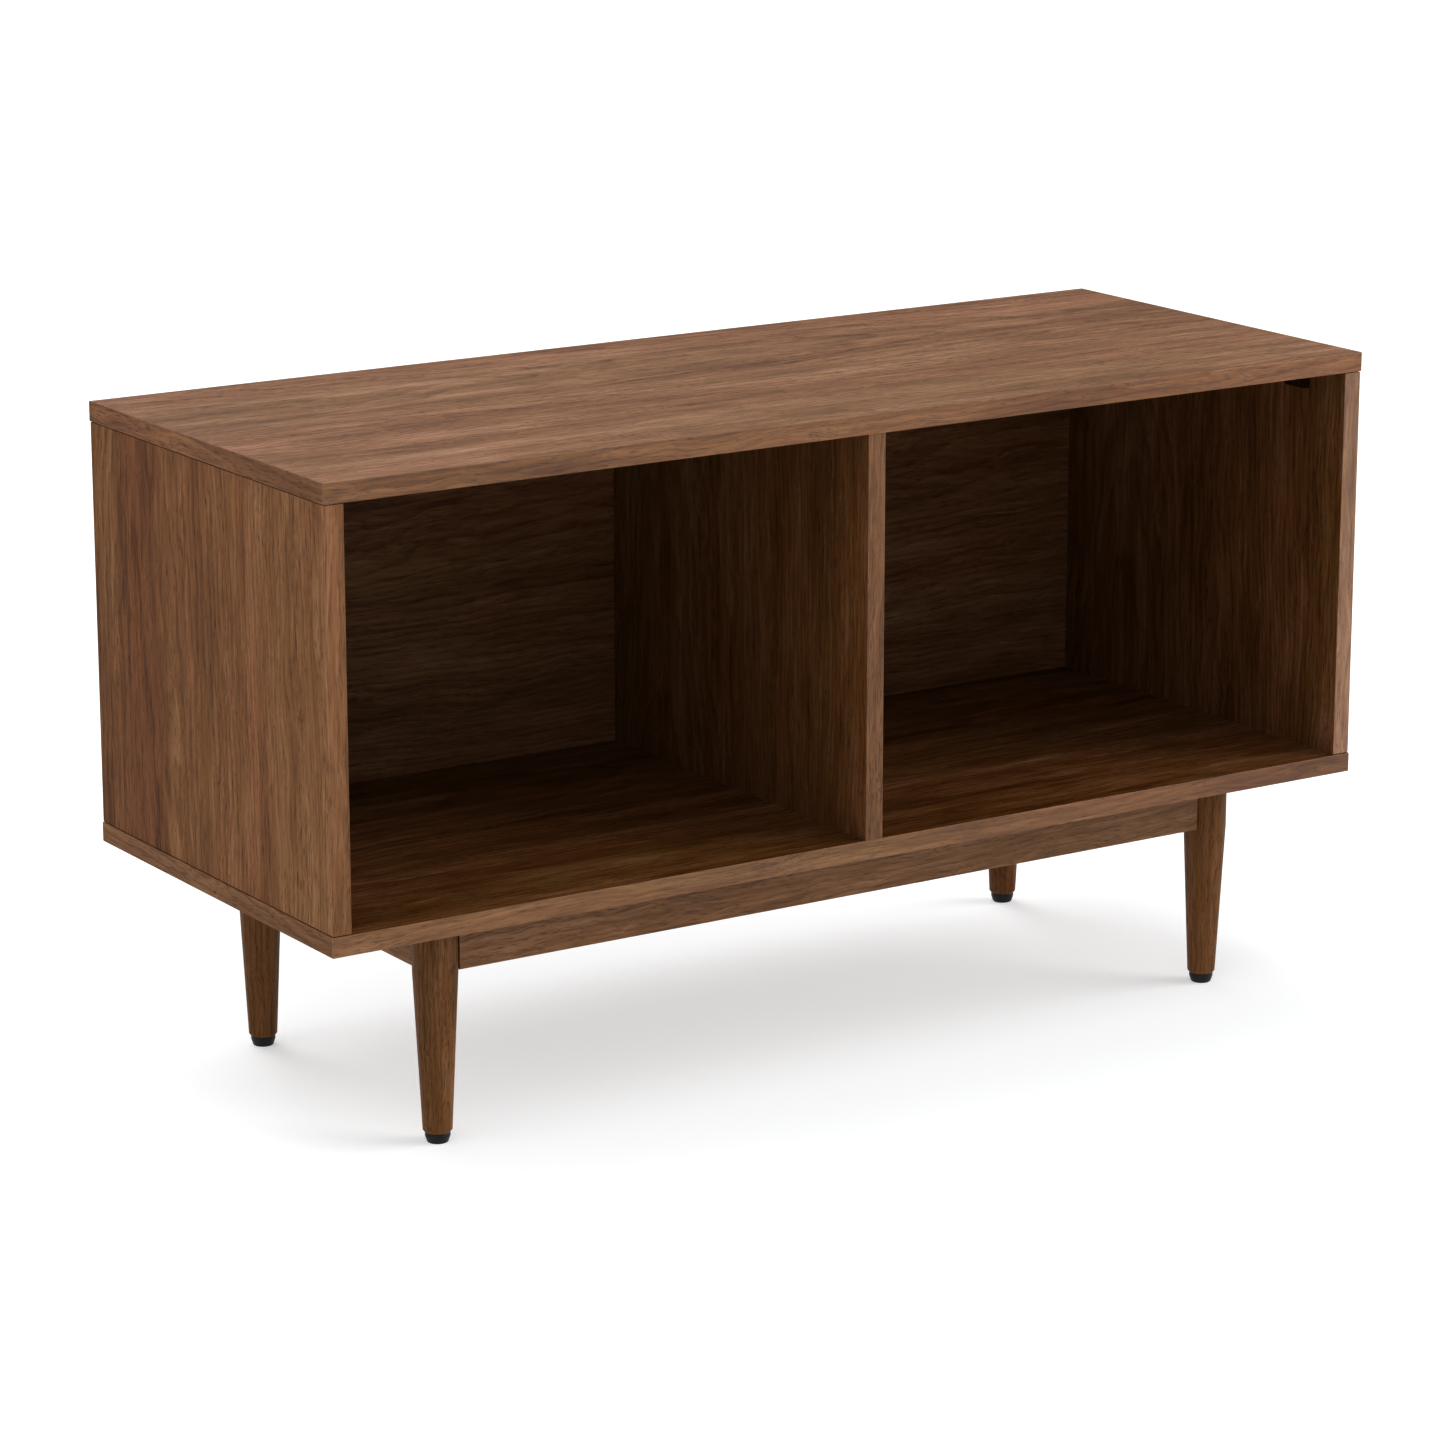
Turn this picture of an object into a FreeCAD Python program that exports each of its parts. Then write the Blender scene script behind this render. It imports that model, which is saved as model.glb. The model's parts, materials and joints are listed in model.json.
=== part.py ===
"""Open two-compartment storage cabinet on a base with four tapered legs, in millimetres.

The case is a box of 18 mm panels.  Its top and bottom run over the two sides and a centre divider,
and a thin back panel sits in a rabbet.  It stands on a separate base frame of four turned legs and
four aprons.  Every leg ends in a levelling foot: a plastic pad on a threaded stud that screws into
an insert in the leg.

Frame: origin on the floor under the middle of the cabinet, +X to the right, +Y to the rear, +Z up.
"""
import FreeCAD, Part
import math
import os

Vector = FreeCAD.Vector

# Driving dimensions -------------------------------------------------------------------------------
WIDTH = 1100.0              # over the top panel's ends
DEPTH = 430.0               # over the top panel's front and rear edges
CASE_HEIGHT = 404.0         # top face to underside of the bottom panel
CLEAR_UNDER_CASE = 201.0    # floor to underside of the bottom panel
PANEL = 18.0                # thickness of every case panel but the back
REVEAL = 0.8                # sides and divider stand back this far behind the edges of top and bottom

BAND = 1.0                  # edge band thickness
SLAB_ROUND = 0.6            # rounding of the outer edges of top and bottom
UPRIGHT_ROUND = 0.4         # rounding of the front edges of sides and divider
SEAM_HEIGHT = 0.8           # shadow groove where a side meets top and bottom, on its outer and front faces
SEAM_DEPTH = 1.4

BACK = 6.0                  # back panel thickness
BACK_RECESS = 2.0           # the back panel's outer face stands this far in front of the case's rear edge
RABBET = 9.0                # width of the rabbet that takes the back panel
BACK_PLAY = 0.5             # gap round the back panel's edges

LEG_FROM_END = 129.0        # leg axis to the end of the case
LEG_FROM_FRONT = 55.0       # leg axis to the front or rear edge of the case
LEG_TOP_R = 20.0
LEG_END_R = 13.0
LEG_CHAMFER_R = 11.4
LEG_CHAMFER_H = 2.0
APRON_HEIGHT = 46.0
APRON = 22.0                # apron thickness, centred on the leg axis
APRON_ROUND = 0.8           # rounding of an apron's lower edges
COPE_GAP = 0.3              # gap between a leg and the coped end of an apron
APRON_END = 18.2            # leg axis to the flat shoulder on each side of the cope

PAD_HEIGHT = 9.2
PAD_TOP_R = 11.15
PAD_SOLE_R = 9.2
PAD_SIDE_Z = 5.8            # the pad is straight above this height and tapers below it
PAD_SOLE_ROUND = 1.2
PAD_TOP_ROUND = 0.4
PAD_GAP = 0.3               # gap between pad and leg with the foot screwed right in

THREAD_PITCH = 1.25         # M8
STUD_CREST_R = 3.95
STUD_ROOT_R = 3.35
STUD_IN_LEG = 28.0          # length of stud above the leg's end
STUD_ROOM = 0.5             # radial gap round the stud above the insert
STUD_ROOM_END = 8.0         # and the depth of the hole past its end
STUD_HEAD_R = 6.5
STUD_HEAD_Z = (2.5, 5.0)    # the head moulded into the pad
STUD_NECK_R = 3.0
RUN = 0.05                  # running clearance between pad and stud
INSERT_BORE_R = 4.05
INSERT_R = 6.0
INSERT_LENGTH = 25.0

FIT_PLAY = 0.1              # radial gap round dowels, inserts and screws
HOLE_END = 1.0              # a dowel hole is this much deeper than its dowel
PAST = 1.0                  # how far a cutting shape reaches past the face it cuts

# Derived levels and places ------------------------------------------------------------------------
CASE_Z = CLEAR_UNDER_CASE
FLOOR_Z = CASE_Z + PANEL
CEILING_Z = CASE_Z + CASE_HEIGHT - PANEL
MIDDLE_Z = (FLOOR_Z + CEILING_Z) / 2
HALF_W = WIDTH / 2
HALF_D = DEPTH / 2
SIDE_OUT = HALF_W - REVEAL
SIDE_IN = SIDE_OUT - PANEL
SIDE_MID = SIDE_OUT - PANEL / 2
UPRIGHT_FRONT = -HALF_D + REVEAL
UPRIGHT_REAR = HALF_D - REVEAL
BACK_OUT = HALF_D - BACK_RECESS
BACK_IN = BACK_OUT - BACK
LEG_X = HALF_W - LEG_FROM_END
LEG_Y = HALF_D - LEG_FROM_FRONT
LEG_END_Z = PAD_HEIGHT + PAD_GAP
APRON_Z = CASE_Z - APRON_HEIGHT
APRON_MID_Z = CASE_Z - APRON_HEIGHT / 2

LEFT_RIGHT = (("left", -1), ("right", 1))
FRONT_REAR = (("front", -1), ("rear", 1))
CORNERS = [(f"{fr}_{lr}", sx, sy) for fr, sy in FRONT_REAR for lr, sx in LEFT_RIGHT]


# Shape helpers ------------------------------------------------------------------------------------
def box(x0, x1, y0, y1, z0, z1):
    return Part.makeBox(x1 - x0, y1 - y0, z1 - z0, Vector(x0, y0, z0))


def rod(radius, start, end):
    """A cylinder from one point to another."""
    start, end = Vector(*start), Vector(*end)
    return Part.makeCylinder(radius, (end - start).Length, start, end - start)


def turned(profile, x=0.0, y=0.0):
    """A solid turned about the vertical through (x, y).  The (radius, height) points begin and end on
    the axis."""
    points = [Vector(r, 0, z) for r, z in profile]
    section = Part.Face(Part.makePolygon(points + [points[0]]))
    solid = section.revolve(Vector(0, 0, 0), Vector(0, 0, 1), 360)
    solid.translate(Vector(x, y, 0))
    return solid


def prism(points, along):
    """The outline through the points, pushed along a vector."""
    outline = [Vector(*p) for p in points]
    return Part.Face(Part.makePolygon(outline + [outline[0]])).extrude(Vector(*along))


def hexagon(across_flats, z0, z1):
    corner_r = across_flats / math.sqrt(3)
    corners = [math.radians(60 * i) for i in range(6)]
    return prism([(corner_r * math.cos(a), corner_r * math.sin(a), z0) for a in corners], (0, 0, z1 - z0))


def aimed(shape, place):
    """A copy of a shape that was built pointing down, moved to a place and turned to its direction."""
    point, direction = place
    turn = FreeCAD.Rotation(Vector(0, 0, -1), Vector(*direction))
    moved = shape.copy()
    moved.Placement = FreeCAD.Placement(Vector(*point), turn)
    return moved


def along(place, distance):
    """The point at a distance from a place, along its direction."""
    point, direction = place
    return tuple(p + d * distance for p, d in zip(point, direction))


def cut(shape, *groups):
    return shape.cut([tool for group in groups for tool in group])


def rounded(shape, radius, wanted):
    """Fillets the edges for which wanted(middle of the edge, edge) is true."""
    return shape.makeFillet(radius, [edge for edge in shape.Edges if wanted(edge.CenterOfMass, edge)])


def thread(start, end, root, crest):
    """Profile points for ring grooves from one height up to another.  Rings stand for the thread, so
    the part is the same at every angle it turns to."""
    points = []
    for i in range(int((end - start) / THREAD_PITCH)):
        z = start + i * THREAD_PITCH
        points += [(root, z), (crest, z + 0.45 * THREAD_PITCH), (crest, z + 0.55 * THREAD_PITCH)]
    return points


def save(node, *shapes):
    """Writes one node.  Several solids are kept apart in one compound."""
    solids = [solid for shape in shapes for solid in shape.Solids]
    if any(not solid.isValid() or solid.Volume <= 0 for solid in solids):
        raise ValueError(f"{node} has a bad solid")
    shape = solids[0] if len(solids) == 1 else Part.makeCompound(solids)
    shape.exportStep(os.path.join("parts", node + ".step"))


# Fasteners ----------------------------------------------------------------------------------------
class Screw:
    """A pan-head wood screw with a cross recess.  A place is the point under its head and its direction."""

    def __init__(self, radius, length, head_r, head_h):
        self.radius, self.length, self.head_r = radius, length, head_r
        body = turned([(0, head_h), (0.55 * head_r, head_h), (head_r, 0.45 * head_h), (head_r, 0),
                       (radius, 0), (radius, 2 * radius - length), (0, -length)])
        arm, half = 0.52 * head_r, 0.11 * head_r
        recess = [box(-a, a, -b, b, 0.35 * head_h, head_h + PAST) for a, b in ((arm, half), (half, arm))]
        self.solid = cut(body, recess)

    def solids(self, places):
        return [aimed(self.solid, place) for place in places]

    def holes(self, places):
        """The holes that the screws run in, from above the seat to just past the tip."""
        r = self.radius + FIT_PLAY
        return [rod(r, along(place, -PAST), along(place, self.length + HOLE_END / 2)) for place in places]


BACK_SCREW = Screw(radius=1.5, length=20.0, head_r=3.2, head_h=1.7)
BLOCK_SCREW = Screw(radius=1.75, length=17.0, head_r=3.5, head_h=2.0)
FRAME_SCREW = Screw(radius=2.0, length=14.0, head_r=4.0, head_h=2.3)

# Case screws: run up through the bottom panel into sides and divider, heads flush below.
CASE_SCREW_R = 3.5
CASE_SCREW_LENGTH = 50.0
CASE_SCREW_HEAD_R = 5.0
CASE_SCREW_HEAD_H = 2.5
CASE_SCREW_CONE_H = 1.5
CASE_SCREW_TIP = 3.0
CASE_SCREW_SOCKET = 4.0     # hexagon socket, across flats

UPRIGHTS_X = (-SIDE_MID, 0.0, SIDE_MID)
CASE_SCREWS = [(x, y) for x in UPRIGHTS_X for y in (-120.0, 0.0, 120.0)]


def case_screw_blank(x, y, play=0.0):
    """The turned shape of a case screw; with play it is the hole for one and opens below the panel."""
    head_r, shank_r = CASE_SCREW_HEAD_R + play, CASE_SCREW_R + play
    foot = CASE_Z - (PAST if play else 0.0)
    neck = CASE_Z + CASE_SCREW_HEAD_H
    tip = CASE_Z + CASE_SCREW_LENGTH + 2 * play
    return turned([(0, foot), (head_r, foot), (head_r, neck), (shank_r, neck + CASE_SCREW_CONE_H),
                   (shank_r, tip - CASE_SCREW_TIP), (0.5 * shank_r, tip), (0, tip)], x, y)


def case_screw(x, y):
    socket = hexagon(CASE_SCREW_SOCKET, CASE_Z - PAST, CASE_Z + CASE_SCREW_HEAD_H)
    socket.translate(Vector(x, y, 0))
    return case_screw_blank(x, y).cut(socket)


# Dowels of the case: at (x, y), through the joint at a height, into the slab above or below it.
DOWEL_R = 4.0
DOWEL_IN_SLAB = 10.0
DOWEL_IN_UPRIGHT = 20.0
TOP_DOWELS = [(x, y, CEILING_Z, 1) for x in UPRIGHTS_X for y in (-185.0, 0.0, 185.0)]
BOTTOM_DOWELS = [(x, y, FLOOR_Z, -1) for x in UPRIGHTS_X for y in (-185.0, 185.0)]


def case_dowel(x, y, joint_z, slab_side, play=0.0):
    extra = HOLE_END if play else 0.0
    upright_end = joint_z - slab_side * (DOWEL_IN_UPRIGHT + extra)
    slab_end = joint_z + slab_side * (DOWEL_IN_SLAB + extra)
    return rod(DOWEL_R + play, (x, y, upright_end), (x, y, slab_end))


def case_dowels(places, play=0.0):
    return [case_dowel(*place, play) for place in places]


# Back panel screws: along the middle of the rabbet, and up the divider.
BACK_SCREW_FROM_END = 41.0
BACK_SCREW_ROWS_X = (-400.0, -135.0, 135.0, 400.0)


def back_screw_places():
    inset = RABBET / 2
    heights = (FLOOR_Z + BACK_SCREW_FROM_END, MIDDLE_Z, CEILING_Z - BACK_SCREW_FROM_END)
    columns = (-SIDE_IN - inset, 0.0, SIDE_IN + inset)
    points = [(x, z) for x in columns for z in heights]
    points += [(x, z) for x in BACK_SCREW_ROWS_X for z in (FLOOR_Z - inset, CEILING_Z + inset)]
    return [((x, BACK_OUT, z), (0, -1, 0)) for x, z in points]


# Corner blocks between sides and top.
BLOCK_WIDTH = 27.0
BLOCK_REACH = 22.0          # along the side and along the top
BLOCK_LIP = 7.0
BLOCK_FLOOR = 5.0           # plastic under each screw head
BLOCK_ROUND = 1.2
BLOCK_BORE_PLAY = 0.5       # radial gap between a screw head and its counterbore
BLOCK_FROM_FRONT = 65.0     # middle of the block to the front or rear edge of the case
BLOCK_Y = HALF_D - BLOCK_FROM_FRONT
BLOCK_SCREW_IN = 14.5       # screw axis to the side or top that it lies along
BLOCK_SCREW_SHIFT = 6.5     # screw axis to the middle of the block


def block_screw_places(sx, sy):
    """One screw up into the top panel and one sideways into the side panel."""
    y = sy * BLOCK_Y
    up = (sx * (SIDE_IN - BLOCK_SCREW_IN), y - BLOCK_SCREW_SHIFT, CEILING_Z - BLOCK_FLOOR)
    out = (sx * (SIDE_IN - BLOCK_FLOOR), y + BLOCK_SCREW_SHIFT, CEILING_Z - BLOCK_SCREW_IN)
    return [(up, (0, 0, 1)), (out, (sx, 0, 0))]


# L brackets between base and case.  Each is given by the middle of its corner, on an apron's inner face
# under the case, and the direction towards the middle of the base.
BRACKET = 20.0
BRACKET_WIDTH = 24.0
BRACKET_XS = (-200.0, 200.0)
BRACKET_SCREW = 12.0        # screw axis to the bracket's corner
PLATE = 2.0                 # thickness of brackets and corner plates
BRACKETS = [((x, sy * (LEG_Y - APRON / 2)), (0, -sy)) for _, sy in FRONT_REAR for x in BRACKET_XS]
BRACKETS += [((sx * (LEG_X - APRON / 2), 0.0), (-sx, 0)) for _, sx in LEFT_RIGHT]


def bracket_screw_places(where, inward):
    """One screw up into the bottom panel and one into the apron."""
    (x, y), (ix, iy) = where, inward
    up = (x + ix * BRACKET_SCREW, y + iy * BRACKET_SCREW, CASE_Z - PLATE)
    out = (x + ix * PLATE, y + iy * PLATE, CASE_Z - BRACKET_SCREW)
    return [(up, (0, 0, 1)), (out, (-ix, -iy, 0))]


# Corner plates, each drawn in by a bolt that stands out of the leg.
PLATE_START = 60.0          # leg axis to where the plate leaves an apron
PLATE_FLANGE = 24.0
PLATE_MARGIN = 6.0          # apron left bare above and below the plate
PLATE_SCREW_IN = 13.0       # start of the flange to its screws
PLATE_SCREW_DZ = 9.0
PLATE_FACE = (PLATE_START + APRON / 2) / math.sqrt(2) + PLATE   # leg axis to the plate's inner face

BOLT_R = 4.0
BOLT_ROOT_R = 3.4
BOLT_START = 3.0            # leg axis to the bolt's inner end
BOLT_BARE = 24.0            # leg axis to where its machine thread starts
BOLT_TIP = 1.0              # chamfer at its outer end
WASHER_R = 8.0
WASHER_H = 1.6
NUT_FLATS = 13.0
NUT_H = 6.5
BOLT_END = PLATE_FACE + WASHER_H + NUT_H + 4.0


def plate_screw_places(sx, sy):
    """Four screws through the two flanges of a corner plate into the aprons."""
    run = PLATE_START + PLATE_SCREW_IN
    face = APRON / 2 + PLATE
    places = []
    for z in (APRON_MID_Z - PLATE_SCREW_DZ, APRON_MID_Z + PLATE_SCREW_DZ):
        places.append(((sx * (LEG_X - run), sy * (LEG_Y - face), z), (0, sy, 0)))
        places.append(((sx * (LEG_X - face), sy * (LEG_Y - run), z), (sx, 0, 0)))
    return places


BACK_SCREWS = back_screw_places()
BLOCK_SCREWS = [place for _, sx, sy in CORNERS for place in block_screw_places(sx, sy)]
BRACKET_SCREWS = [place for bracket in BRACKETS for place in bracket_screw_places(*bracket)]
PLATE_SCREWS = [place for _, sx, sy in CORNERS for place in plate_screw_places(sx, sy)]


# The case -----------------------------------------------------------------------------------------
def save_slab(name, z0, rabbet_z, holes):
    """The top or bottom panel: a core and a band on each edge, cut from one slab with rounded edges.
    rabbet_z is the height of the face that the back panel's rabbet is cut into."""
    z1 = z0 + PANEL
    slab = box(-HALF_W, HALF_W, -HALF_D, HALF_D, z0, z1)
    rabbet_x = SIDE_IN + RABBET
    rabbet = box(-rabbet_x, rabbet_x, BACK_IN, HALF_D + PAST, rabbet_z - RABBET, rabbet_z + RABBET)
    slab = slab.makeFillet(SLAB_ROUND, slab.Edges).cut(rabbet)
    x, y = HALF_W - BAND, HALF_D - BAND
    out_x, out_y = HALF_W + PAST, HALF_D + PAST
    low, high = z0 - PAST, z1 + PAST
    save(name + "_panel", cut(slab.common(box(-x, x, -y, y, low, high)), holes))
    bands = {"front": box(-out_x, out_x, -out_y, -y, low, high),
             "rear": box(-out_x, out_x, y, out_y, low, high),
             "left": box(-out_x, -x, -y, y, low, high),
             "right": box(x, out_x, -y, y, low, high)}
    for edge, region in bands.items():
        save(f"{name}_{edge}_band", slab.common(region))


def upright(x0, x1, rear):
    """A standing panel with its two front edges rounded."""
    block = box(x0, x1, UPRIGHT_FRONT, rear, FLOOR_Z, CEILING_Z)
    return rounded(block, UPRIGHT_ROUND, lambda mid, edge: mid.z == MIDDLE_Z and mid.y == UPRIGHT_FRONT)


def save_upright(name, band_name, whole, holes):
    """A standing panel: its core and the band on its front edge."""
    front = box(-HALF_W, HALF_W, -HALF_D, UPRIGHT_FRONT + BAND, FLOOR_Z - PAST, CEILING_Z + PAST)
    save(name, cut(whole.cut(front), holes))
    save(band_name, whole.common(front))


def seam_grooves(sx):
    """The shapes that cut the shadow grooves into one side, at its foot and at its head."""
    out_x0, out_x1 = sorted((sx * (SIDE_OUT - SEAM_DEPTH), sx * (SIDE_OUT + PAST)))
    x0, x1 = sorted((sx * SIDE_IN, sx * SIDE_OUT))
    grooves = []
    for low, high in ((FLOOR_Z - PAST, FLOOR_Z + SEAM_HEIGHT), (CEILING_Z - SEAM_HEIGHT, CEILING_Z + PAST)):
        grooves.append(box(out_x0, out_x1, -HALF_D, HALF_D, low, high))
        grooves.append(box(x0, x1, -HALF_D, UPRIGHT_FRONT + SEAM_DEPTH, low, high))
    return grooves


def save_sides(holes):
    for side, sx in LEFT_RIGHT:
        x0, x1 = sorted((sx * SIDE_IN, sx * SIDE_OUT))
        rabbet_x0, rabbet_x1 = sorted((sx * SIDE_IN, sx * (SIDE_IN + RABBET)))
        rabbet = box(rabbet_x0, rabbet_x1, BACK_IN, HALF_D, FLOOR_Z - PAST, CEILING_Z + PAST)
        whole = cut(upright(x0, x1, UPRIGHT_REAR).cut(rabbet), seam_grooves(sx))
        save_upright(side + "_side_panel", side + "_side_front_band", whole, holes)


def back_panel():
    x = SIDE_IN + RABBET - BACK_PLAY
    low, high = FLOOR_Z - RABBET + BACK_PLAY, CEILING_Z + RABBET - BACK_PLAY
    return box(-x, x, BACK_IN, BACK_OUT, low, high)


def corner_block(sx, sy):
    """A plastic block in the corner of side and top, with a counterbore for each of its two screws."""
    profile = [(0, 0), (BLOCK_REACH, 0), (BLOCK_REACH, BLOCK_LIP), (BLOCK_LIP, BLOCK_REACH),
               (0, BLOCK_REACH)]
    y0 = sy * BLOCK_Y - BLOCK_WIDTH / 2
    solid = prism([(sx * (SIDE_IN - u), y0, CEILING_Z - v) for u, v in profile], (0, BLOCK_WIDTH, 0))
    near = 1.0
    solid = rounded(solid, BLOCK_ROUND,
                    lambda mid, edge: mid.z < CEILING_Z - near and abs(mid.x) < SIDE_IN - near)
    places = block_screw_places(sx, sy)
    bore_r = BLOCK_SCREW.head_r + BLOCK_BORE_PLAY
    counterbores = [rod(bore_r, place[0], along(place, -BLOCK_REACH)) for place in places]
    return cut(solid, BLOCK_SCREW.holes(places), counterbores)


def make_case():
    top_holes = case_dowels(TOP_DOWELS, FIT_PLAY) + BLOCK_SCREW.holes(BLOCK_SCREWS)
    bottom_holes = case_dowels(BOTTOM_DOWELS, FIT_PLAY)
    bottom_holes += [case_screw_blank(x, y, FIT_PLAY) for x, y in CASE_SCREWS]
    back_holes = BACK_SCREW.holes(BACK_SCREWS)
    upright_holes = top_holes + bottom_holes + back_holes

    save_slab("top", CEILING_Z, CEILING_Z, top_holes + back_holes)
    save_slab("bottom", CASE_Z, FLOOR_Z, bottom_holes + back_holes + FRAME_SCREW.holes(BRACKET_SCREWS))
    save_sides(upright_holes)
    divider = upright(-PANEL / 2, PANEL / 2, BACK_IN)
    save_upright("centre_divider", "centre_divider_front_band", divider, upright_holes)
    save("back_panel", cut(back_panel(), back_holes))

    for name, sx, sy in CORNERS:
        save(name + "_corner_block", corner_block(sx, sy))
    save("corner_block_screws", *BLOCK_SCREW.solids(BLOCK_SCREWS))
    save("back_panel_screws", *BACK_SCREW.solids(BACK_SCREWS))
    save("top_dowels", *case_dowels(TOP_DOWELS))
    save("bottom_dowels", *case_dowels(BOTTOM_DOWELS))
    save("case_screws", *[case_screw(x, y) for x, y in CASE_SCREWS])


# The base -----------------------------------------------------------------------------------------
APRON_DOWEL_IN_LEG = 12.0
APRON_DOWEL_IN_APRON = 28.0
APRON_DOWEL_DZ = 11.0


def apron_dowels(play=0.0):
    """The two dowels of each of the eight leg joints; with play, the holes for them."""
    extra = HOLE_END if play else 0.0
    near = LEG_TOP_R - APRON_DOWEL_IN_LEG - extra
    far = LEG_TOP_R + APRON_DOWEL_IN_APRON + extra
    made = []
    for _, sx, sy in CORNERS:
        for z in (APRON_MID_Z - APRON_DOWEL_DZ, APRON_MID_Z + APRON_DOWEL_DZ):
            x, y = sx * LEG_X, sy * LEG_Y
            made.append(rod(DOWEL_R + play, (x - sx * near, y, z), (x - sx * far, y, z)))
            made.append(rod(DOWEL_R + play, (x, y - sy * near, z), (x, y - sy * far, z)))
    return made


def bolt_place(sx, sy):
    """A point on a leg's axis and the direction of its bolt, towards the middle of the base."""
    slant = 1 / math.sqrt(2)
    return (sx * LEG_X, sy * LEG_Y, APRON_MID_Z), (-sx * slant, -sy * slant, 0.0)


def bolt_hole(sx, sy, play):
    place = bolt_place(sx, sy)
    return rod(BOLT_R + play, along(place, BOLT_START - HOLE_END), along(place, BOLT_END))


def leg_bolt(sx, sy):
    """A bolt with a plain shank in the leg and ring grooves for the thread that takes the nut."""
    tip = BOLT_END - BOLT_TIP
    points = [(0, BOLT_START), (BOLT_R, BOLT_START), (BOLT_R, BOLT_BARE)]
    points += thread(BOLT_BARE, tip, BOLT_ROOT_R, BOLT_R)
    points += [(BOLT_ROOT_R, tip), (BOLT_ROOT_R - BOLT_TIP, BOLT_END), (0, BOLT_END)]
    return aimed(turned([(r, -z) for r, z in points]), bolt_place(sx, sy))


def leg(sx, sy):
    """A turned leg: straight beside the aprons, then tapering to a chamfered end that is bored for the
    insert."""
    x, y = sx * LEG_X, sy * LEG_Y
    wood = turned([(0, LEG_END_Z), (LEG_CHAMFER_R, LEG_END_Z), (LEG_END_R, LEG_END_Z + LEG_CHAMFER_H),
                   (LEG_TOP_R, APRON_Z), (LEG_TOP_R, CASE_Z), (0, CASE_Z)], x, y)
    insert_seat = rod(INSERT_R + FIT_PLAY, (x, y, 0), (x, y, LEG_END_Z + INSERT_LENGTH))
    room_end = LEG_END_Z + STUD_IN_LEG + STUD_ROOM_END
    stud_room = rod(STUD_CREST_R + STUD_ROOM, (x, y, 0), (x, y, room_end))
    return cut(wood, [insert_seat, stud_room, bolt_hole(sx, sy, FIT_PLAY)], apron_dowels(FIT_PLAY))


def apron(middle_x, middle_y, half_x, half_y, holes):
    """A straight rail whose lower edges are rounded and whose ends are coped round the legs."""
    bar = box(middle_x - half_x, middle_x + half_x, middle_y - half_y, middle_y + half_y, APRON_Z,
              CASE_Z)
    length = 2 * max(half_x, half_y)
    bar = rounded(bar, APRON_ROUND, lambda mid, edge: mid.z == APRON_Z and edge.Length == length)
    copes = [rod(LEG_TOP_R + COPE_GAP, (sx * LEG_X, sy * LEG_Y, 0), (sx * LEG_X, sy * LEG_Y, CASE_Z + PAST))
             for _, sx, sy in CORNERS]
    return cut(bar, copes, holes)


def save_aprons():
    holes = apron_dowels(FIT_PLAY) + FRAME_SCREW.holes(BRACKET_SCREWS + PLATE_SCREWS)
    for name, sy in FRONT_REAR:
        save(name + "_apron", apron(0.0, sy * LEG_Y, LEG_X - APRON_END, APRON / 2, holes))
    for name, sx in LEFT_RIGHT:
        save(name + "_apron", apron(sx * LEG_X, 0.0, APRON / 2, LEG_Y - APRON_END, holes))


def corner_plate(sx, sy):
    """A folded steel plate across the corner, with a flange on each apron and a hole for the leg's bolt."""
    near, far = APRON / 2, PLATE_START
    end = far + PLATE_FLANGE
    bend = far + PLATE * (math.sqrt(2) - 1)
    inner = near + PLATE
    outline = [(end, near), (far, near), (near, far), (near, end),
               (inner, end), (inner, bend), (bend, inner), (end, inner)]
    points = [(sx * (LEG_X - u), sy * (LEG_Y - v), APRON_Z + PLATE_MARGIN) for u, v in outline]
    plate = prism(points, (0, 0, APRON_HEIGHT - 2 * PLATE_MARGIN))
    return cut(plate, [bolt_hole(sx, sy, 3 * FIT_PLAY)], FRAME_SCREW.holes(plate_screw_places(sx, sy)))


def washer(sx, sy):
    place = bolt_place(sx, sy)
    disc = rod(WASHER_R, along(place, PLATE_FACE), along(place, PLATE_FACE + WASHER_H))
    return disc.cut(bolt_hole(sx, sy, 2 * FIT_PLAY))


def nut(sx, sy):
    place = bolt_place(sx, sy)
    seat = along(place, PLATE_FACE + WASHER_H)
    return aimed(hexagon(NUT_FLATS, -NUT_H, 0.0), (seat, place[1])).cut(bolt_hole(sx, sy, FIT_PLAY))


def bracket(where, inward):
    """An L bracket with one side on an apron's inner face and the other under the bottom panel."""
    (x, y), (ix, iy) = where, inward
    half = BRACKET_WIDTH / 2
    side_x, side_y = abs(iy), abs(ix)
    outline = [(0, 0), (BRACKET, 0), (BRACKET, PLATE), (PLATE, PLATE), (PLATE, BRACKET), (0, BRACKET)]
    points = [(x + ix * u - side_x * half, y + iy * u - side_y * half, CASE_Z - v) for u, v in outline]
    solid = prism(points, (side_x * BRACKET_WIDTH, side_y * BRACKET_WIDTH, 0))
    return cut(solid, FRAME_SCREW.holes(bracket_screw_places(where, inward)))


def make_base():
    for name, sx, sy in CORNERS:
        save(name + "_leg", leg(sx, sy))
        save(name + "_corner_plate", corner_plate(sx, sy))
    save_aprons()
    save("apron_dowels", *apron_dowels())
    save("leg_bolts", *[leg_bolt(sx, sy) for _, sx, sy in CORNERS])
    save("leg_bolt_washers", *[washer(sx, sy) for _, sx, sy in CORNERS])
    save("leg_bolt_nuts", *[nut(sx, sy) for _, sx, sy in CORNERS])
    save("corner_plate_screws", *FRAME_SCREW.solids(PLATE_SCREWS))
    save("case_brackets", *[bracket(*b) for b in BRACKETS])
    save("case_bracket_screws", *FRAME_SCREW.solids(BRACKET_SCREWS))


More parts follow.
